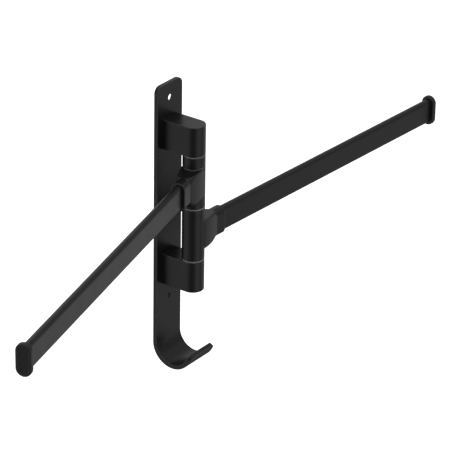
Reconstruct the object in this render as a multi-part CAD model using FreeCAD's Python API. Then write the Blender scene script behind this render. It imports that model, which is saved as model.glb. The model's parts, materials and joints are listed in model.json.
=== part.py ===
import FreeCAD, Part
import math
import os

# Swivel towel rack with two arms and a hook.
# Millimetres. The wall face is the plane Y = 0 and the rack stands out from it towards -Y.
# +Z is up, +X is to the right. Z = 0 is halfway up the pivot column, between the outer faces of the lugs.

# Wall plate: one strip of flat bar, bent into a hook at its lower end
plate_width = 36.4
plate_thickness = 4.0
plate_top = 113.9
plate_corner_radius = 6.5
plate_edge_radius = 0.4
hook_start = -138.4
hook_inner_radius = 17.5
hook_turn = 150.0
hook_tail = 8.5
hook_corner_radius = 7.0

# Wall screw holes, on the centre line of the plate; the upper one is relieved from behind
upper_hole_height = 99.6
lower_hole_height = -97.4
wall_hole_radius = 2.8
wall_relief_radius = 6.5
wall_relief_depth = 2.8

# Pivot column
pivot_offset = 31.0
column_radius = 10.35
rim_chamfer = 0.4
pin_radius = 4.0
pin_bottom = -75.5
pin_top = 74.0
pin_rim_chamfer = 0.6
pin_bore_room = 0.5
fit_gap = 0.05
loose_fit_gap = 0.2
axial_gap = 0.1
washer_rim_chamfer = 0.1
top_washer_thickness = 0.6
upper_washer_thickness = 0.6
middle_washer_thickness = 1.0
lower_washer_thickness = 0.9
washer_radius = 10.15
upper_washer_radius = 9.8
middle_washer_low = 0.5

# Lugs: heights of their lower and upper faces
upper_lug_bottom = 52.5
upper_lug_top = 81.3
lower_lug_bottom = -81.3
lower_lug_top = -51.2
lug_edge_radius = 0.5
plug_radius = 5.0
plug_length = 5.0
plug_key_radius = 2.9
plug_key_depth = 3.0

# Spacer collar under the upper lug
collar_height = 11.1

# Screws from the back of the plate into the lugs
lug_screw_radius = 2.5
lug_screw_length = 18.0
lug_screw_head_radius = 4.6
lug_screw_head_height = 2.3
lug_screw_spacing = 15.0
lug_screw_key_radius = 1.8
lug_screw_key_depth = 2.0
screw_gap = 0.15
screw_flush_depth = 0.2
screw_tip_room = 1.0

# Arms
arm_height = 25.3
arm_reach = 359.2
tube_height = 24.3
tube_width = 7.5
tube_wall = 1.5
upper_arm_angle = -165.4
lower_arm_angle = -3.4

# Hub socket that takes the tube, and the neck between barrel and socket
socket_height = 27.3
socket_width = 13.5
socket_end = 37.2
socket_start = 25.3
socket_edge_radius = 0.8
socket_roundness = 0.97
tube_start = 13.5
tube_gap = 0.1
neck_shoulder = 4.0
upper_neck_rise = 14.7
lower_neck_rise = 14.1
neck_depth = 18.5
neck_width = 20.6
neck_flank_bow = 1.6
neck_top_radius = 1.0
neck_foot_radius = 8.0
neck_foot_curve = 4
neck_top_curve = 4
neck_steps = 8

# Bushes in the hubs
bush_radius = 6.0
bush_length = 12.0

# Grub screws in the socket wall
grub_radius = 2.0
grub_length = 2.7
grub_place = 31.0
grub_spacing = 11.0
grub_gap = 0.05
grub_key_radius = 1.15
grub_key_depth = 1.5

# End caps
cap_height = 29.8
cap_width = 14.3
cap_thickness = 4.8
cap_edge_radius = 1.0
cap_panel_inset = 2.4
cap_panel_depth = 0.6
cap_plug_length = 14.0
cap_plug_chamfer = 0.6

# How far a cutting shape runs past the face that it opens
overrun = 1.0

X_AXIS = FreeCAD.Vector(1, 0, 0)
Y_AXIS = FreeCAD.Vector(0, 1, 0)
Z_AXIS = FreeCAD.Vector(0, 0, 1)
ORIGIN = FreeCAD.Vector(0, 0, 0)


def vector(x, y, z):
    return FreeCAD.Vector(x, y, z)


def save(name, shape):
    if not shape.isValid():
        raise ValueError("invalid shape: " + name)
    shape.exportStep("parts/" + name + ".step")
    print(name, len(shape.Solids), "solid(s)", round(shape.Volume), "mm3")


def column_cylinder(radius, low, high):
    """Cylinder about the pivot axis, as seen from the pivot's own origin."""
    return Part.makeCylinder(radius, high - low, vector(0, 0, low), Z_AXIS)


def to_pivot(shape, angle=0.0):
    """Turn a shape about the pivot axis and carry it to its place in front of the wall."""
    moved = shape.copy()
    moved.rotate(ORIGIN, Z_AXIS, angle)
    moved.translate(vector(0, -pivot_offset, 0))
    return moved


def ring(outer, inner, low, high, chamfer=0.0):
    """Round collar about the pivot axis with both outer rims chamfered."""
    body = column_cylinder(outer, low, high)
    if chamfer:
        rims = [edge for edge in body.Edges if isinstance(edge.Curve, Part.Circle)]
        body = body.makeChamfer(chamfer, rims)
    return body.cut(column_cylinder(inner, low - overrun, high + overrun))


def stadium_wire(place, bottom, top, width):
    """Upright flat-oval outline in the plane X = place, centred on Y = 0."""
    radius = width / 2
    low = bottom + radius
    high = top - radius
    left_side = Part.makeLine(vector(place, -radius, high), vector(place, -radius, low))
    foot = Part.Arc(vector(place, -radius, low), vector(place, 0, bottom), vector(place, radius, low))
    right_side = Part.makeLine(vector(place, radius, low), vector(place, radius, high))
    head = Part.Arc(vector(place, radius, high), vector(place, 0, top), vector(place, -radius, high))
    return Part.Wire([left_side, foot.toShape(), right_side, head.toShape()])


def stadium_bar(start, end, centre, height, width):
    """Straight bar of flat-oval section from X = start to X = end, centred on the height given."""
    outline = stadium_wire(start, centre - height / 2, centre + height / 2, width)
    return Part.Face(outline).extrude(vector(end - start, 0, 0))


def end_rim(shape, place):
    """Edges of a bar that lie wholly in the plane X = place."""
    return [
        edge
        for edge in shape.Edges
        if abs(edge.BoundBox.XMin - place) < 1e-6 and abs(edge.BoundBox.XMax - place) < 1e-6
    ]


def hook_point(radius, turn, tail=0.0):
    """Point of the side profile at a distance from the bend's centre, after a turn and a straight tail."""
    angle = math.radians(turn)
    centre_y = -(hook_inner_radius + plate_thickness)
    y = centre_y + radius * math.cos(angle) - tail * math.sin(angle)
    z = hook_start - radius * math.sin(angle) - tail * math.cos(angle)
    return vector(0, y, z)


def plate_profile():
    """Side view of the bent strip as a closed face in the plane X = 0."""
    outer = hook_inner_radius + plate_thickness
    inner = hook_inner_radius
    back_top = vector(0, 0, plate_top)
    front_top = vector(0, -plate_thickness, plate_top)
    half_turn = hook_turn / 2
    outer_arc = Part.Arc(hook_point(outer, 0), hook_point(outer, half_turn), hook_point(outer, hook_turn))
    inner_arc = Part.Arc(hook_point(inner, hook_turn), hook_point(inner, half_turn), hook_point(inner, 0))
    outer_tip = hook_point(outer, hook_turn, hook_tail)
    inner_tip = hook_point(inner, hook_turn, hook_tail)
    edges = [
        Part.makeLine(back_top, hook_point(outer, 0)),
        outer_arc.toShape(),
        Part.makeLine(hook_point(outer, hook_turn), outer_tip),
        Part.makeLine(outer_tip, inner_tip),
        Part.makeLine(inner_tip, hook_point(inner, hook_turn)),
        inner_arc.toShape(),
        Part.makeLine(hook_point(inner, 0), front_top),
        Part.makeLine(front_top, back_top),
    ]
    return Part.Face(Part.Wire(edges))


def is_corner(edge, y, z):
    """True for a short edge across the strip's thickness whose middle is near the point given."""
    middle = edge.CenterOfMass
    return abs(edge.Length - plate_thickness) < 0.01 and math.hypot(middle.y - y, middle.z - z) < 1.0


def long_side_edges(shape):
    """Edges that run along both broad faces of the strip and around its ends."""
    found = []
    for edge in shape.Edges:
        across = abs(edge.Length - plate_thickness) < 0.01
        if not across and edge.Length > 1.0:
            found.append(edge)
    return found


def lug_centre(low, high):
    return (low + high) / 2


def lug_screw_heights():
    """Heights of the four screws that hold the lugs."""
    heights = []
    for low, high in ((lower_lug_bottom, lower_lug_top), (upper_lug_bottom, upper_lug_top)):
        for side in (-1, 1):
            heights.append(lug_centre(low, high) + side * lug_screw_spacing / 2)
    return heights


def countersunk_form(height, gap, beyond):
    """Countersunk screw that enters from the back of the plate, grown by a gap all round and at its tip."""
    head_back = vector(0, -screw_flush_depth, height)
    head_radius = lug_screw_head_radius + gap
    shank_radius = lug_screw_radius + gap
    head = Part.makeCone(head_radius, shank_radius, lug_screw_head_height, head_back, -Y_AXIS)
    shank = Part.makeCylinder(shank_radius, lug_screw_length + beyond, head_back, -Y_AXIS)
    return head.fuse(shank)


def countersunk_hole(height):
    """Hole for a lug screw, deeper than the screw and open at the back of the plate."""
    start = vector(0, overrun, height)
    mouth = Part.makeCylinder(lug_screw_head_radius + screw_gap, screw_flush_depth + overrun, start, -Y_AXIS)
    return countersunk_form(height, screw_gap, screw_tip_room).fuse(mouth)


def make_wall_plate():
    strip = plate_profile().extrude(vector(plate_width, 0, 0))
    strip.translate(vector(-plate_width / 2, 0, 0))
    top_corners = [e for e in strip.Edges if is_corner(e, -plate_thickness / 2, plate_top)]
    strip = strip.makeFillet(plate_corner_radius, top_corners)
    tip = (hook_point(hook_inner_radius, hook_turn, hook_tail)
           + hook_point(hook_inner_radius + plate_thickness, hook_turn, hook_tail)) / 2
    tip_corners = [e for e in strip.Edges if is_corner(e, tip.y, tip.z)]
    strip = strip.makeFillet(hook_corner_radius, tip_corners)
    strip = strip.makeFillet(plate_edge_radius, long_side_edges(strip))
    for height in (lower_hole_height, upper_hole_height):
        mouth = vector(0, overrun, height)
        strip = strip.cut(Part.makeCylinder(wall_hole_radius, plate_thickness + 2 * overrun, mouth, -Y_AXIS))
    relief_start = vector(0, 0, upper_hole_height)
    strip = strip.cut(Part.makeCylinder(wall_relief_radius, wall_relief_depth, relief_start, -Y_AXIS))
    for height in lug_screw_heights():
        strip = strip.cut(countersunk_hole(height))
    return strip


def make_lug(low, high):
    """D-shaped block: flat sides against the plate and a round front about the pivot."""
    depth = pivot_offset - plate_thickness
    block = Part.makeBox(2 * column_radius, depth, high - low, vector(-column_radius, -pivot_offset, low))
    nose = Part.makeCylinder(column_radius, high - low, vector(0, -pivot_offset, low), Z_AXIS)
    lug = block.fuse(nose).removeSplitter()
    outline = [
        edge
        for edge in lug.Edges
        if edge.BoundBox.ZLength < 1e-6 and edge.CenterOfMass.y < -plate_thickness - 0.1
    ]
    lug = lug.makeFillet(lug_edge_radius, outline)
    for height in lug_screw_heights():
        if low < height < high:
            lug = lug.cut(countersunk_hole(height))
    return lug


def make_upper_lug():
    bore = column_cylinder(pin_radius + fit_gap, upper_lug_bottom - overrun, pin_top + pin_bore_room)
    return make_lug(upper_lug_bottom, upper_lug_top).cut(to_pivot(bore))


def make_lower_lug():
    bore = column_cylinder(pin_radius + fit_gap, lower_lug_bottom - overrun, lower_lug_top + overrun)
    thread = column_cylinder(plug_radius + fit_gap, lower_lug_bottom - overrun, pin_bottom)
    return make_lug(lower_lug_bottom, lower_lug_top).cut(to_pivot(bore)).cut(to_pivot(thread))


def hex_recess(radius, depth):
    """Hexagonal key recess along +Z from the origin."""
    angles = [k * math.pi / 3 for k in range(7)]
    corners = [vector(radius * math.cos(angle), radius * math.sin(angle), 0) for angle in angles]
    return Part.Face(Part.makePolygon(corners)).extrude(vector(0, 0, depth))


def make_lug_screws(low, high):
    screws = []
    for height in lug_screw_heights():
        if low < height < high:
            recess = hex_recess(lug_screw_key_radius, lug_screw_key_depth)
            recess.rotate(ORIGIN, X_AXIS, 90)
            recess.translate(vector(0, 0, height))
            screws.append(countersunk_form(height, 0, 0).cut(recess))
    return Part.makeCompound(screws)


def make_plug_screw():
    low = pin_bottom - plug_length
    body = column_cylinder(plug_radius, low, pin_bottom)
    recess = hex_recess(plug_key_radius, plug_key_depth)
    recess.translate(vector(0, 0, low))
    return to_pivot(body.cut(recess))


def make_pin():
    body = column_cylinder(pin_radius, pin_bottom, pin_top)
    rims = [edge for edge in body.Edges if isinstance(edge.Curve, Part.Circle)]
    return to_pivot(body.makeChamfer(pin_rim_chamfer, rims))


def make_washer(low, thickness, radius=washer_radius):
    return to_pivot(ring(radius, pin_radius + loose_fit_gap, low, low + thickness, washer_rim_chamfer))


def rounded_wire(place, bottom, top, width, foot_radius, head_radius):
    """Upright rounded rectangle in the plane X = place; lower and upper corners differ in radius."""
    side = width / 2
    corners = (
        (-1, bottom, foot_radius, 1, 180),
        (1, bottom, foot_radius, 1, 270),
        (1, top, head_radius, -1, 0),
        (-1, top, head_radius, -1, 90),
    )
    arcs = []
    for hand, level, radius, inward, start in corners:
        middle_y = hand * (side - radius)
        middle_z = level + inward * radius
        points = []
        for turn in (0, 45, 90):
            angle = math.radians(start + turn)
            y = middle_y + radius * math.cos(angle)
            z = middle_z + radius * math.sin(angle)
            points.append(vector(place, y, z))
        arcs.append(points)
    edges = []
    for k in range(4):
        edges.append(Part.Arc(*arcs[k]).toShape())
        edges.append(Part.makeLine(arcs[k][2], arcs[(k + 1) % 4][0]))
    return Part.Wire(edges)


def socket_wire(place, centre):
    radius = socket_roundness * socket_width / 2
    bottom = centre - socket_height / 2
    return rounded_wire(place, bottom, bottom + socket_height, socket_width, radius, radius)


def neck_sections(centre, rise):
    """Sections from shoulder to socket: flanks bulge outwards, the top rounds over, the foot curves up."""
    socket_radius = socket_roundness * socket_width / 2
    sections = []
    for k in range(neck_steps + 1):
        part = k / neck_steps
        place = neck_shoulder + (socket_start - neck_shoulder) * part
        lift = (neck_depth - socket_height / 2) * (place / socket_start) ** neck_foot_curve
        bottom = centre - neck_depth + lift
        top = centre + rise + (socket_height / 2 - rise) * part
        width = neck_width + (socket_width - neck_width) * part ** neck_flank_bow
        foot_radius = neck_foot_radius + (socket_radius - neck_foot_radius) * part
        head_radius = neck_top_radius + (socket_radius - neck_top_radius) * part ** neck_top_curve
        sections.append(rounded_wire(place, bottom, top, width, foot_radius, head_radius))
    return sections


def make_hub(low, high, centre, rise, wall_side):
    """Cast arm hub on the pivot axis with its socket along +X."""
    barrel = column_cylinder(column_radius, low, high)
    rims = [edge for edge in barrel.Edges if isinstance(edge.Curve, Part.Circle)]
    barrel = barrel.makeChamfer(rim_chamfer, rims)
    sections = neck_sections(centre, rise)
    root = Part.Face(sections[0]).extrude(vector(-neck_shoulder, 0, 0))
    neck = Part.makeLoft(sections, True, False)
    socket = Part.Face(socket_wire(socket_start, centre)).extrude(vector(socket_end - socket_start, 0, 0))
    socket = socket.makeFillet(socket_edge_radius, end_rim(socket, socket_end))
    hub = barrel.fuse([root, neck, socket]).removeSplitter()
    hub = hub.cut(column_cylinder(bush_radius, low - overrun, high + overrun))
    cavity_height = tube_height + 2 * tube_gap
    cavity_width = tube_width + 2 * tube_gap
    cavity_start = tube_start - tube_gap
    hub = hub.cut(stadium_bar(cavity_start, socket_end + overrun, centre, cavity_height, cavity_width))
    for height in grub_heights(centre):
        hub = hub.cut(grub_form(height, grub_gap, wall_side))
    return hub


def grub_heights(centre):
    return [centre - grub_spacing / 2, centre + grub_spacing / 2]


def grub_form(height, extra, side):
    """Headless screw through one side wall of the socket."""
    outside = vector(grub_place, side * socket_width / 2, height)
    return Part.makeCylinder(grub_radius + extra, grub_length + extra, outside, -side * Y_AXIS)


def make_grubs(centre, side):
    grubs = []
    for height in grub_heights(centre):
        recess = hex_recess(grub_key_radius, grub_key_depth)
        recess.rotate(ORIGIN, X_AXIS, 90 * side)
        recess.translate(vector(grub_place, side * socket_width / 2, height))
        grubs.append(grub_form(height, 0, side).cut(recess))
    return Part.makeCompound(grubs)


def make_tube(centre):
    end = arm_reach - cap_thickness
    outside = stadium_bar(tube_start, end, centre, tube_height, tube_width)
    bore_height = tube_height - 2 * tube_wall
    bore_width = tube_width - 2 * tube_wall
    return outside.cut(stadium_bar(tube_start - overrun, end + overrun, centre, bore_height, bore_width))


def make_end_cap(centre):
    """Flat-oval end plate with a sunk panel and a plug that sits in the tube."""
    face = arm_reach
    back = arm_reach - cap_thickness
    plate = stadium_bar(back, face, centre, cap_height, cap_width)
    plate = plate.makeFillet(cap_edge_radius, end_rim(plate, face) + end_rim(plate, back))
    panel_height = cap_height - 2 * cap_panel_inset
    panel_width = cap_width - 2 * cap_panel_inset
    plate = plate.cut(stadium_bar(face - cap_panel_depth, face + overrun, centre, panel_height, panel_width))
    plug_height = tube_height - 2 * tube_wall - 2 * tube_gap
    plug_width = tube_width - 2 * tube_wall - 2 * tube_gap
    plug = stadium_bar(back - cap_plug_length, back, centre, plug_height, plug_width)
    plug = plug.makeChamfer(cap_plug_chamfer, end_rim(plug, back - cap_plug_length))
    return plate.fuse(plug)


def make_bush(low):
    return ring(bush_radius, pin_radius + fit_gap, low, low + bush_length)


os.makedirs("parts", exist_ok=True)

# Heights in the pivot column, from the top of the lower lug to the foot of the upper lug
lower_hub_low = lower_lug_top + lower_washer_thickness + axial_gap
collar_top = upper_lug_bottom - top_washer_thickness
collar_bottom = collar_top - collar_height
upper_washer_low = collar_bottom - upper_washer_thickness
upper_hub_high = upper_washer_low - axial_gap
lower_hub_high = middle_washer_low - axial_gap
upper_hub_low = middle_washer_low + middle_washer_thickness + axial_gap

save("wall_plate", make_wall_plate())
save("upper_lug", make_upper_lug())
save("lower_lug", make_lower_lug())
save("upper_lug_screws", make_lug_screws(upper_lug_bottom, upper_lug_top))
save("lower_lug_screws", make_lug_screws(lower_lug_bottom, lower_lug_top))
save("pivot_pin", make_pin())
save("pivot_plug_screw", make_plug_screw())
collar = ring(column_radius, pin_radius + loose_fit_gap, collar_bottom, collar_top, rim_chamfer)
save("spacer_collar", to_pivot(collar))
save("top_washer", make_washer(collar_top, top_washer_thickness))
save("upper_washer", make_washer(upper_washer_low, upper_washer_thickness, upper_washer_radius))
save("middle_washer", make_washer(middle_washer_low, middle_washer_thickness))
save("lower_washer", make_washer(lower_lug_top, lower_washer_thickness))

# The grub screws face the wall: local -Y on the arm that points left, +Y on the other
arms = (
    ("upper", upper_arm_angle, arm_height, upper_hub_low, upper_hub_high, upper_neck_rise, -1),
    ("lower", lower_arm_angle, -arm_height, lower_hub_low, lower_hub_high, lower_neck_rise, 1),
)
for name, angle, centre, hub_low, hub_high, rise, wall_side in arms:
    hub = make_hub(hub_low, hub_high, centre, rise, wall_side)
    save(name + "_arm_hub", to_pivot(hub, angle))
    save(name + "_hub_top_bush", to_pivot(make_bush(hub_high - bush_length), angle))
    save(name + "_hub_bottom_bush", to_pivot(make_bush(hub_low), angle))
    save(name + "_arm_tube", to_pivot(make_tube(centre), angle))
    save(name + "_arm_end_cap", to_pivot(make_end_cap(centre), angle))
    save(name + "_arm_grub_screws", to_pivot(make_grubs(centre, wall_side), angle))
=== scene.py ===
import json
import math

import bpy
from bpy.props import FloatProperty, FloatVectorProperty, PointerProperty
from mathutils import Matrix, Vector


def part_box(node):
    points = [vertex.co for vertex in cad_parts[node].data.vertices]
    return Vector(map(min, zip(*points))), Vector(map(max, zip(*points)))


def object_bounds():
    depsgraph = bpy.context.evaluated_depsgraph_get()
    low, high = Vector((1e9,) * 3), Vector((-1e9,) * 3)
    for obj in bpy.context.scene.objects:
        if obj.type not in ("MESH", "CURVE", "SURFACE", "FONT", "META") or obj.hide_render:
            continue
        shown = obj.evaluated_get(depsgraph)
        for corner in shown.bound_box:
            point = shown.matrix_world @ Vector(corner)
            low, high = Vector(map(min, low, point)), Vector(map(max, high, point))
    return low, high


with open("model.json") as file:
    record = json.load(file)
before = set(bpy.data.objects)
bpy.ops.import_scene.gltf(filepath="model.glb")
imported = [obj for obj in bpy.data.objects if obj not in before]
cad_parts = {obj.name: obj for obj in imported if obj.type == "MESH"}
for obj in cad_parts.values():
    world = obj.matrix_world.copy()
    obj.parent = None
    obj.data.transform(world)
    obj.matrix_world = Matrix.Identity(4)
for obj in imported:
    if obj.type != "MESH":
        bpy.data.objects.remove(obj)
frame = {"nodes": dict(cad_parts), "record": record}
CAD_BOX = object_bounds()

bl_info = {
    "name": "Swivel towel rack",
    "version": (1, 0, 0),
    "blender": (4, 5, 0),
    "location": "3D View > Sidebar > Towel rack",
    "description": "Finishes and studio for a two-arm swivel towel rack",
    "category": "Object",
}

NODES = frame["nodes"]

# A point on the pivot axis
PIVOT = (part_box("pivot_pin")[0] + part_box("pivot_pin")[1]) / 2

# Soft lights and dark panels of the studio: degrees round from the camera, degrees above the horizon,
# degrees from the middle out to the rim, brightness added to the walls (below zero for a dark panel)
STUDIO_LIGHTS = (
    (0, 90, 75, 0.35),
    (0, -90, 75, -0.25),
    (0, 0, 50, -0.1),
    (180, 25, 35, 0.3),
    (-70, -25, 35, 0.3),
    (45, -25, 30, 0.5),
    (95, -25, 35, 0.1),
    (140, -25, 30, 0.3),
    (160, 40, 25, -0.25),
)

# Share of a light's spread that is evenly bright
LIGHT_CORE = 0.4

# Width of the camera's sensor in millimetres, and how far it sees in metres
SENSOR_WIDTH = 36.0
VIEW_DEPTH = 100.0

# Grey of the floor, how matte it is, and how strongly it glows
FLOOR_GREY = 0.8
FLOOR_ROUGHNESS = 0.9
FLOOR_GLOW = 1.0

# Cosine between the rounded and the true normal where an edge mask starts and where it is full
EDGE_MASK_START = 0.9995
EDGE_MASK_FULL = 0.965

# Powder coat: sizes of its cloudy patches and of the patches that break up the wear and the painted edge
# highlight, least wear and painted highlight, gloss change
COAT_CLOUD = 0.012
COAT_WEAR_AND_HIGHLIGHT_PATCH = 0.003
COAT_LEAST_WEAR_AND_HIGHLIGHT = 0.2
COAT_GLOSS_CHANGE = 0.05

# End caps: size of the cloudy patches, gloss change, how much smoother and lighter a polished edge is,
# and how strongly the plastic shines (0.5 is a usual plastic)
CAP_CLOUD = 0.006
CAP_GLOSS_CHANGE = 0.06
CAP_POLISH = 0.12
CAP_EDGE_LIGHTER = 3.0
CAP_SHINE = 0.42

# Nylon: sizes of the gloss and colour patches, gloss change, darker shade, light carried under the surface
NYLON_GLOSS_PATCH = 0.002
NYLON_COLOUR_PATCH = 0.004
NYLON_GLOSS_CHANGE = 0.06
NYLON_DARKER = 0.85
NYLON_GLOW_SHARE = 0.15
NYLON_GLOW_DEPTH = 0.0005

# Bare and plated metal: gloss changes, darker shade, sizes of the cloudy patches, least wear
STEEL_SMOOTHER = 0.10
STEEL_ROUGHER = 0.05
STEEL_DARKER = 0.8
ZINC_CLOUD = 0.0015
ZINC_SMOOTHER = 0.08
ZINC_ROUGHER = 0.14
OXIDE_CLOUD = 0.001
OXIDE_LEAST_WEAR = 0.1
OXIDE_ROUGHER = 0.15


# ---------------------------------------------------------------- settings

class CoatSettings(bpy.types.PropertyGroup):
    """Matte black powder coat on the steel parts."""

    colour: FloatVectorProperty(
        name="Coat colour", description="Colour of the powder coat",
        subtype="COLOR", size=3, min=0.0, max=1.0, default=(0.012, 0.012, 0.0125))
    # Painted highlight: a light colour painted along the coat's edges in place of the light that the edges
    # catch
    painted_edge_highlight: FloatVectorProperty(
        name="Worn colour", description="Colour of the coat where edges are rubbed",
        subtype="COLOR", size=3, min=0.0, max=1.0, default=(0.13, 0.13, 0.135))
    roughness: FloatProperty(
        name="Roughness", description="How matte the powder coat is", default=0.36, min=0.0, max=1.0)
    worn_roughness: FloatProperty(
        name="Worn roughness", description="How matte the coat is on rubbed edges",
        default=0.28, min=0.0, max=1.0)
    grain: FloatProperty(
        name="Grain", description="Size of the coat's fine grain", unit="LENGTH", default=0.0005)
    grain_depth: FloatProperty(
        name="Grain depth", description="Height of the coat's fine grain", unit="LENGTH", default=0.00002)
    ripple: FloatProperty(
        name="Ripple", description="Size of the coat's slow waviness", unit="LENGTH", default=0.004)
    ripple_depth: FloatProperty(
        name="Ripple depth", description="Height of the coat's slow waviness", unit="LENGTH", default=0.00002)
    edge: FloatProperty(
        name="Edge", description="Radius that the coat rounds over each edge", unit="LENGTH", default=0.0006)
    # This reach of the edge mask also sets how far the painted edge highlight runs
    wear: FloatProperty(
        name="Wear", description="How far from an edge the coat is rubbed", unit="LENGTH", default=0.0012)


class PlasticSettings(bpy.types.PropertyGroup):
    """Moulded plastic of the end caps, washers and bushes."""

    cap_colour: FloatVectorProperty(
        name="Cap colour", description="Colour of the end caps",
        subtype="COLOR", size=3, min=0.0, max=1.0, default=(0.019, 0.019, 0.0195))
    cap_roughness: FloatProperty(
        name="Cap roughness", description="How matte the end caps are", default=0.40, min=0.0, max=1.0)
    cap_pits: FloatProperty(
        name="Cap pits", description="Size of the fine texture that the mould leaves",
        unit="LENGTH", default=0.0004)
    cap_pit_depth: FloatProperty(
        name="Cap pit depth", description="Depth of the mould's texture", unit="LENGTH", default=0.000015)
    cap_edge: FloatProperty(
        name="Cap edge", description="Radius that softens the edges of the caps",
        unit="LENGTH", default=0.0008)
    cap_wear: FloatProperty(
        name="Cap wear", description="How far from an edge the caps are polished",
        unit="LENGTH", default=0.0014)
    washer_colour: FloatVectorProperty(
        name="Washer colour", description="Colour of the washers",
        subtype="COLOR", size=3, min=0.0, max=1.0, default=(0.50, 0.50, 0.49))
    bush_colour: FloatVectorProperty(
        name="Bush colour", description="Colour of the bushes",
        subtype="COLOR", size=3, min=0.0, max=1.0, default=(0.06, 0.06, 0.06))
    nylon_roughness: FloatProperty(
        name="Nylon roughness", description="How matte the washers and bushes are",
        default=0.42, min=0.0, max=1.0)
    turning: FloatProperty(
        name="Turning marks", description="Spacing of the turned rings on the nylon",
        unit="LENGTH", default=0.00015)
    turning_depth: FloatProperty(
        name="Turning depth", description="Depth of the turned rings", unit="LENGTH", default=0.000006)


class MetalSettings(bpy.types.PropertyGroup):
    """Bare and plated metal of the pin and the screws."""

    pin_colour: FloatVectorProperty(
        name="Pin colour", description="Colour of the ground steel pin",
        subtype="COLOR", size=3, min=0.0, max=1.0, default=(0.60, 0.60, 0.60))
    zinc_colour: FloatVectorProperty(
        name="Zinc colour", description="Colour of the plated screws",
        subtype="COLOR", size=3, min=0.0, max=1.0, default=(0.55, 0.56, 0.58))
    zinc_tint: FloatVectorProperty(
        name="Zinc tint", description="Colour of the cloudy patches in the plating",
        subtype="COLOR", size=3, min=0.0, max=1.0, default=(0.44, 0.44, 0.40))
    oxide_colour: FloatVectorProperty(
        name="Oxide colour", description="Colour of the blackened screws",
        subtype="COLOR", size=3, min=0.0, max=1.0, default=(0.045, 0.045, 0.05))
    rubbed_colour: FloatVectorProperty(
        name="Rubbed colour", description="Bare steel where the blackening is rubbed off",
        subtype="COLOR", size=3, min=0.0, max=1.0, default=(0.25, 0.25, 0.25))
    roughness: FloatProperty(
        name="Roughness", description="How matte the metal is", default=0.30, min=0.0, max=1.0)
    marks: FloatProperty(
        name="Tool marks", description="Spacing of the grinding and turning marks",
        unit="LENGTH", default=0.0003)
    mark_depth: FloatProperty(
        name="Mark depth", description="Depth of the tool marks", unit="LENGTH", default=0.000004)
    edge: FloatProperty(
        name="Edge", description="Radius that softens the edges of the screws", unit="LENGTH", default=0.0003)


class StageSettings(bpy.types.PropertyGroup):
    """Camera, floor and lights."""

    azimuth: FloatProperty(
        name="Azimuth", description="Compass angle of the camera round the rack",
        subtype="ANGLE", default=math.radians(-54.28))
    elevation: FloatProperty(
        name="Elevation", description="Height angle of the camera",
        subtype="ANGLE", default=math.radians(26.25))
    roll: FloatProperty(
        name="Roll", description="Tilt of the camera about its own axis",
        subtype="ANGLE", default=math.radians(0.91))
    distance: FloatProperty(
        name="Distance", description="From the camera to the point it looks at", unit="LENGTH", default=2.732)
    lens: FloatProperty(
        name="Lens", description="Focal length in millimetres", subtype="DISTANCE_CAMERA", default=245.2)
    aim: FloatVectorProperty(
        name="Aim", description="Point that the camera looks at", subtype="TRANSLATION", size=3,
        default=(0.0116, -0.0575, -0.0146))
    floor_drop: FloatProperty(
        name="Floor drop", description="From the foot of the hook down to the floor",
        unit="LENGTH", default=0.55)
    floor_size: FloatProperty(
        name="Floor size", description="Side of the square floor", unit="LENGTH", default=40.0)
    wall_light: FloatProperty(
        name="Wall light", description="Brightness of the studio walls all round", default=0.25, min=0.0)


# ---------------------------------------------------------------- materials

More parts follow.
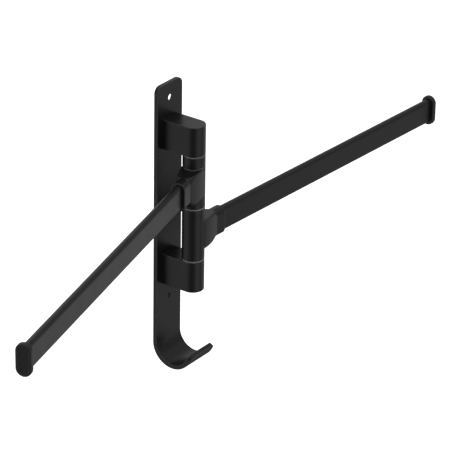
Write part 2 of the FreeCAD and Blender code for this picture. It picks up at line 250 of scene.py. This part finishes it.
class Shader:
    """A new material's node tree with short ways to add and join nodes."""

    def __init__(self, name):
        self.material = bpy.data.materials.new(name)
        self.material.use_nodes = True
        self.tree = self.material.node_tree
        self.body = self.tree.nodes["Principled BSDF"]

    def node(self, kind, **values):
        made = self.tree.nodes.new(kind)
        for key, value in values.items():
            if key in made.inputs:
                made.inputs[key].default_value = value
            else:
                setattr(made, key, value)
        return made

    def join(self, source, target):
        self.tree.links.new(source, target)

    def where(self):
        return self.node("ShaderNodeTexCoord").outputs["Object"]

    def noise(self, place, size, detail=3.0):
        made = self.node("ShaderNodeTexNoise", Scale=1.0 / size, Detail=detail)
        self.join(place, made.inputs["Vector"])
        return made.outputs["Fac"]

    def span(self, source, low, high):
        made = self.node("ShaderNodeMapRange")
        made.inputs["To Min"].default_value = low
        made.inputs["To Max"].default_value = high
        self.join(source, made.inputs["Value"])
        return made.outputs["Result"]

    def tool_marks(self, along, spacing):
        """Uneven fine marks across the direction in which a number grows."""
        made = self.node("ShaderNodeTexNoise", noise_dimensions="1D", Scale=1.0 / spacing, Detail=2.0)
        self.join(along, made.inputs["W"])
        return made.outputs["Fac"]

    def rings(self, spacing):
        """Fine rings about the pivot axis, as a lathe leaves them."""
        middle = self.node("ShaderNodeVectorMath", operation="SUBTRACT")
        middle.inputs[1].default_value = PIVOT
        self.join(self.where(), middle.inputs[0])
        flat = self.node("ShaderNodeVectorMath", operation="MULTIPLY")
        flat.inputs[1].default_value = (1.0, 1.0, 0.0)
        self.join(middle.outputs["Vector"], flat.inputs[0])
        length = self.node("ShaderNodeVectorMath", operation="LENGTH")
        self.join(flat.outputs["Vector"], length.inputs[0])
        return self.tool_marks(length.outputs["Value"], spacing)

    def bands(self, spacing):
        """Fine level bands up a piece, as grinding leaves them."""
        parts = self.node("ShaderNodeSeparateXYZ")
        self.join(self.where(), parts.inputs["Vector"])
        return self.tool_marks(parts.outputs["Z"], spacing)

    def bump(self, height, depth, before=None):
        made = self.node("ShaderNodeBump", Strength=1.0, Distance=depth)
        self.join(height, made.inputs["Height"])
        if before:
            self.join(before, made.inputs["Normal"])
        return made.outputs["Normal"]

    def rounded(self, radius):
        """Normal that runs smoothly round each edge."""
        made = self.node("ShaderNodeBevel", Radius=radius, samples=4)
        return made.outputs["Normal"]

    def edge_mask(self, radius):
        """1 on an outer or inner edge, 0 on open surface."""
        shape = self.node("ShaderNodeNewGeometry")
        dot = self.node("ShaderNodeVectorMath", operation="DOT_PRODUCT")
        self.join(self.rounded(radius), dot.inputs[0])
        self.join(shape.outputs["Normal"], dot.inputs[1])
        ramp = self.node("ShaderNodeMapRange", interpolation_type="SMOOTHSTEP")
        ramp.inputs["From Min"].default_value = EDGE_MASK_START
        ramp.inputs["From Max"].default_value = EDGE_MASK_FULL
        self.join(dot.outputs["Value"], ramp.inputs["Value"])
        return ramp.outputs["Result"]

    def times(self, first, second):
        made = self.node("ShaderNodeMath", operation="MULTIPLY")
        self.join(first, made.inputs[0])
        self.join(second, made.inputs[1])
        return made.outputs["Value"]

    def blend_number(self, mask, first, second):
        made = self.node("ShaderNodeMix", data_type="FLOAT")
        self.join(mask, made.inputs["Factor"])
        for source, socket in ((first, made.inputs["A"]), (second, made.inputs["B"])):
            if isinstance(source, float):
                socket.default_value = source
            else:
                self.join(source, socket)
        return made.outputs["Result"]

    def blend_colour(self, mask, first, second):
        made = self.node("ShaderNodeMix", data_type="RGBA")
        self.join(mask, made.inputs["Factor"])
        made.inputs["A"].default_value = (*first, 1.0)
        made.inputs["B"].default_value = (*second, 1.0)
        return made.outputs["Result"]


def powder_coat():
    """Powder coat: fine grain over a slow ripple, cloudy gloss, edges rubbed smoother in patches and painted
    lighter there as a painted highlight.
    """
    coat = bpy.context.scene.rack_coat
    shader = Shader("powder_coat")
    place = shader.where()
    cloud = shader.noise(place, COAT_CLOUD, detail=4.0)
    patches = shader.span(shader.noise(place, COAT_WEAR_AND_HIGHLIGHT_PATCH, detail=4.0), COAT_LEAST_WEAR_AND_HIGHLIGHT, 1.0)
    # Edge mask in patches: the coat is rubbed smoother there and painted lighter as a painted highlight
    rub = shader.times(shader.edge_mask(coat.wear), patches)
    roughness = shader.span(cloud, coat.roughness - COAT_GLOSS_CHANGE, coat.roughness + COAT_GLOSS_CHANGE)
    shader.join(shader.blend_number(rub, roughness, coat.worn_roughness), shader.body.inputs["Roughness"])
    # Painted highlight: the edges are painted in a lighter colour
    shader.join(shader.blend_colour(rub, coat.colour, coat.painted_edge_highlight), shader.body.inputs["Base Color"])
    waves = shader.noise(place, coat.ripple, detail=1.0)
    ripple = shader.bump(waves, coat.ripple_depth, shader.rounded(coat.edge))
    grain = shader.bump(shader.noise(place, coat.grain, detail=2.0), coat.grain_depth, ripple)
    shader.join(grain, shader.body.inputs["Normal"])
    return shader.material


def cap_plastic():
    """Moulded plastic: fine pits, cloudy gloss, edges polished by hands."""
    plastic = bpy.context.scene.rack_plastic
    shader = Shader("cap_plastic")
    place = shader.where()
    rough = plastic.cap_roughness
    cloud = shader.span(shader.noise(place, CAP_CLOUD), rough - CAP_GLOSS_CHANGE, rough + CAP_GLOSS_CHANGE)
    rub = shader.edge_mask(plastic.cap_wear)
    lighter = [CAP_EDGE_LIGHTER * channel for channel in plastic.cap_colour]
    shader.join(shader.blend_number(rub, cloud, rough - CAP_POLISH), shader.body.inputs["Roughness"])
    shader.join(shader.blend_colour(rub, plastic.cap_colour, lighter), shader.body.inputs["Base Color"])
    pits = shader.noise(place, plastic.cap_pits, detail=2.0)
    normal = shader.bump(pits, plastic.cap_pit_depth, shader.rounded(plastic.cap_edge))
    shader.join(normal, shader.body.inputs["Normal"])
    shader.body.inputs["Specular IOR Level"].default_value = CAP_SHINE
    return shader.material


def turned_nylon(name, colour):
    """Nylon turned on a lathe: fine rings, and a little light carried under the surface."""
    plastic = bpy.context.scene.rack_plastic
    shader = Shader(name)
    place = shader.where()
    rough = plastic.nylon_roughness
    gloss_patches = shader.noise(place, NYLON_GLOSS_PATCH)
    roughness = shader.span(gloss_patches, rough - NYLON_GLOSS_CHANGE, rough + NYLON_GLOSS_CHANGE)
    shader.join(roughness, shader.body.inputs["Roughness"])
    darker = [NYLON_DARKER * channel for channel in colour]
    colour_patches = shader.noise(place, NYLON_COLOUR_PATCH)
    shader.join(shader.blend_colour(colour_patches, colour, darker), shader.body.inputs["Base Color"])
    rings = shader.bump(shader.rings(plastic.turning), plastic.turning_depth)
    shader.join(rings, shader.body.inputs["Normal"])
    shader.body.inputs["Subsurface Weight"].default_value = NYLON_GLOW_SHARE
    shader.body.inputs["Subsurface Scale"].default_value = NYLON_GLOW_DEPTH
    return shader.material


def ground_steel():
    """Bright steel with level grinding marks."""
    metal = bpy.context.scene.rack_metal
    shader = Shader("ground_steel")
    marks = shader.bands(metal.marks)
    rough = metal.roughness
    darker = [STEEL_DARKER * channel for channel in metal.pin_colour]
    roughness = shader.span(marks, rough - STEEL_SMOOTHER, rough + STEEL_ROUGHER)
    shader.join(roughness, shader.body.inputs["Roughness"])
    shader.join(shader.blend_colour(marks, metal.pin_colour, darker), shader.body.inputs["Base Color"])
    shader.join(shader.bump(marks, metal.mark_depth), shader.body.inputs["Normal"])
    shader.body.inputs["Metallic"].default_value = 1.0
    return shader.material


def zinc_plate():
    """Zinc plating with cloudy patches."""
    metal = bpy.context.scene.rack_metal
    shader = Shader("zinc_plate")
    place = shader.where()
    cloud = shader.noise(place, ZINC_CLOUD, detail=4.0)
    rough = metal.roughness
    roughness = shader.span(cloud, rough - ZINC_SMOOTHER, rough + ZINC_ROUGHER)
    shader.join(roughness, shader.body.inputs["Roughness"])
    colour = shader.blend_colour(cloud, metal.zinc_colour, metal.zinc_tint)
    shader.join(colour, shader.body.inputs["Base Color"])
    grain = shader.bump(shader.noise(place, metal.marks), metal.mark_depth, shader.rounded(metal.edge))
    shader.join(grain, shader.body.inputs["Normal"])
    shader.body.inputs["Metallic"].default_value = 1.0
    return shader.material


def black_oxide():
    """Blackened steel, rubbed back to bare metal on the edges."""
    metal = bpy.context.scene.rack_metal
    shader = Shader("black_oxide")
    place = shader.where()
    cloud = shader.noise(place, OXIDE_CLOUD, detail=4.0)
    rough = metal.roughness
    rub = shader.times(shader.edge_mask(metal.edge), shader.span(cloud, OXIDE_LEAST_WEAR, 1.0))
    shader.join(shader.span(cloud, rough, rough + OXIDE_ROUGHER), shader.body.inputs["Roughness"])
    colour = shader.blend_colour(rub, metal.oxide_colour, metal.rubbed_colour)
    shader.join(colour, shader.body.inputs["Base Color"])
    grain = shader.bump(shader.noise(place, metal.marks), metal.mark_depth, shader.rounded(metal.edge))
    shader.join(grain, shader.body.inputs["Normal"])
    shader.body.inputs["Metallic"].default_value = 1.0
    return shader.material


def finish(slot, material):
    """Give a material to every part that the record puts in this slot."""
    for part in frame["record"]["subparts"]:
        if part["material_slot"] == slot:
            node = NODES[part["node"]]
            node.data.materials.clear()
            node.data.materials.append(material)


# ---------------------------------------------------------------- stage

def camera_frame(azimuth, elevation, roll):
    """Right, up and back directions of a camera at these angles."""
    back = Vector((
        math.sin(azimuth) * math.cos(elevation),
        -math.cos(azimuth) * math.cos(elevation),
        math.sin(elevation)))
    right = Vector((math.cos(azimuth), math.sin(azimuth), 0.0))
    up = back.cross(right)
    turned_right = right * math.cos(roll) + up * math.sin(roll)
    turned_up = up * math.cos(roll) - right * math.sin(roll)
    return turned_right, turned_up, back


def make_camera(stage):
    """Camera that looks at the aim point from its angles and distance."""
    data = bpy.data.cameras.new("camera")
    camera = bpy.data.objects.new("camera", data)
    bpy.context.scene.collection.objects.link(camera)
    right, up, back = camera_frame(stage.azimuth, stage.elevation, stage.roll)
    turn = Matrix((right, up, back)).transposed().to_4x4()
    camera.matrix_world = Matrix.Translation(Vector(stage.aim) + back * stage.distance) @ turn
    data.sensor_width = SENSOR_WIDTH
    data.lens = stage.lens
    data.clip_end = VIEW_DEPTH
    bpy.context.scene.camera = camera


def make_floor(stage):
    """Plain pale floor that glows by itself and leaves the light on the rack alone."""
    low = CAD_BOX[0]
    mesh = bpy.data.meshes.new("floor")
    half = stage.floor_size / 2
    height = low.z - stage.floor_drop
    corners = [(-half, -half, height), (half, -half, height), (half, half, height), (-half, half, height)]
    mesh.from_pydata(corners, [], [(0, 1, 2, 3)])
    floor = bpy.data.objects.new("floor", mesh)
    bpy.context.scene.collection.objects.link(floor)
    shader = Shader("floor_paper")
    shader.body.inputs["Base Color"].default_value = (FLOOR_GREY, FLOOR_GREY, FLOOR_GREY, 1.0)
    shader.body.inputs["Roughness"].default_value = FLOOR_ROUGHNESS
    shader.body.inputs["Emission Color"].default_value = (1.0, 1.0, 1.0, 1.0)
    shader.body.inputs["Emission Strength"].default_value = FLOOR_GLOW
    mesh.materials.append(shader.material)
    floor.visible_diffuse = False
    floor.visible_glossy = False
    floor.visible_shadow = False


def soft_light(tree, direction, rim, core, brightness):
    """Brightness that is nothing outside a light's rim and even inside its core; both are cosines."""
    place = tree.nodes.new("ShaderNodeTexCoord")
    dot = tree.nodes.new("ShaderNodeVectorMath")
    dot.operation = "DOT_PRODUCT"
    dot.inputs[1].default_value = Vector(direction).normalized()
    tree.links.new(place.outputs["Generated"], dot.inputs[0])
    ramp = tree.nodes.new("ShaderNodeMapRange")
    ramp.interpolation_type = "SMOOTHSTEP"
    for key, value in (("From Min", rim), ("From Max", core), ("To Min", 0.0), ("To Max", brightness)):
        ramp.inputs[key].default_value = value
    tree.links.new(dot.outputs["Value"], ramp.inputs["Value"])
    return ramp.outputs["Result"]


def make_world(stage):
    """Studio of soft grey walls with a few soft lights and dark panels."""
    world = bpy.data.worlds.new("studio")
    bpy.context.scene.world = world
    world.use_nodes = True
    tree = world.node_tree
    light = None
    for turn, height, spread, brightness in STUDIO_LIGHTS:
        direction = camera_frame(stage.azimuth + math.radians(turn), math.radians(height), 0.0)[2]
        rim = math.cos(math.radians(spread))
        core = math.cos(math.radians(spread * LIGHT_CORE))
        total = tree.nodes.new("ShaderNodeMath")
        total.operation = "ADD"
        if light is None:
            total.inputs[0].default_value = stage.wall_light
        else:
            tree.links.new(light, total.inputs[0])
        tree.links.new(soft_light(tree, direction, rim, core, brightness), total.inputs[1])
        light = total.outputs["Value"]
    tree.links.new(light, tree.nodes["Background"].inputs["Strength"])
    tree.nodes["Background"].inputs["Color"].default_value = (1.0, 1.0, 1.0, 1.0)


class RACK_OT_stage(bpy.types.Operator):
    """Make the camera, floor and lights"""

    bl_idname = "rack.stage"
    bl_label = "Stage"

    def execute(self, context):
        stage = context.scene.rack_stage
        make_camera(stage)
        make_floor(stage)
        make_world(stage)
        context.scene.view_settings.view_transform = "Standard"
        return {"FINISHED"}


class RACK_OT_coated_steel(bpy.types.Operator):
    """Powder coat the plate, lugs, collar, hubs and arms"""

    bl_idname = "rack.coated_steel"
    bl_label = "Coated steel"

    def execute(self, context):
        finish("black_paint", powder_coat())
        return {"FINISHED"}


class RACK_OT_end_caps(bpy.types.Operator):
    """Finish the two end caps in moulded plastic"""

    bl_idname = "rack.end_caps"
    bl_label = "End caps"

    def execute(self, context):
        finish("black_plastic", cap_plastic())
        return {"FINISHED"}


class RACK_OT_bearings(bpy.types.Operator):
    """Finish the washers and bushes in turned nylon"""

    bl_idname = "rack.bearings"
    bl_label = "Washers and bushes"

    def execute(self, context):
        plastic = context.scene.rack_plastic
        finish("pale_nylon", turned_nylon("washer_nylon", plastic.washer_colour))
        finish("dark_nylon", turned_nylon("bush_nylon", plastic.bush_colour))
        return {"FINISHED"}


class RACK_OT_pin_and_screws(bpy.types.Operator):
    """Finish the pivot pin and every screw"""

    bl_idname = "rack.pin_and_screws"
    bl_label = "Pin and screws"

    def execute(self, context):
        finish("bright_steel", ground_steel())
        finish("zinc_steel", zinc_plate())
        finish("black_steel", black_oxide())
        return {"FINISHED"}


OPERATORS = (RACK_OT_stage, RACK_OT_coated_steel, RACK_OT_end_caps, RACK_OT_bearings, RACK_OT_pin_and_screws)


class RACK_PT_panel(bpy.types.Panel):
    """Buttons that build the towel rack"""

    bl_idname = "RACK_PT_panel"
    bl_label = "Towel rack"
    bl_space_type = "VIEW_3D"
    bl_region_type = "UI"
    bl_category = "Towel rack"

    def draw(self, context):
        for operator in OPERATORS:
            self.layout.operator(operator.bl_idname)


SETTINGS = {
    "rack_coat": CoatSettings,
    "rack_plastic": PlasticSettings,
    "rack_metal": MetalSettings,
    "rack_stage": StageSettings,
}
CLASSES = (*SETTINGS.values(), *OPERATORS, RACK_PT_panel)


def register():
    for cls in CLASSES:
        bpy.utils.register_class(cls)
    for name, settings in SETTINGS.items():
        setattr(bpy.types.Scene, name, PointerProperty(type=settings))


def unregister():
    for name in SETTINGS:
        delattr(bpy.types.Scene, name)
    for cls in reversed(CLASSES):
        bpy.utils.unregister_class(cls)


def main():
    register()
    bpy.ops.rack.stage()
    bpy.ops.rack.coated_steel()
    bpy.ops.rack.end_caps()
    bpy.ops.rack.bearings()
    bpy.ops.rack.pin_and_screws()


if __name__ == "__main__":
    main()
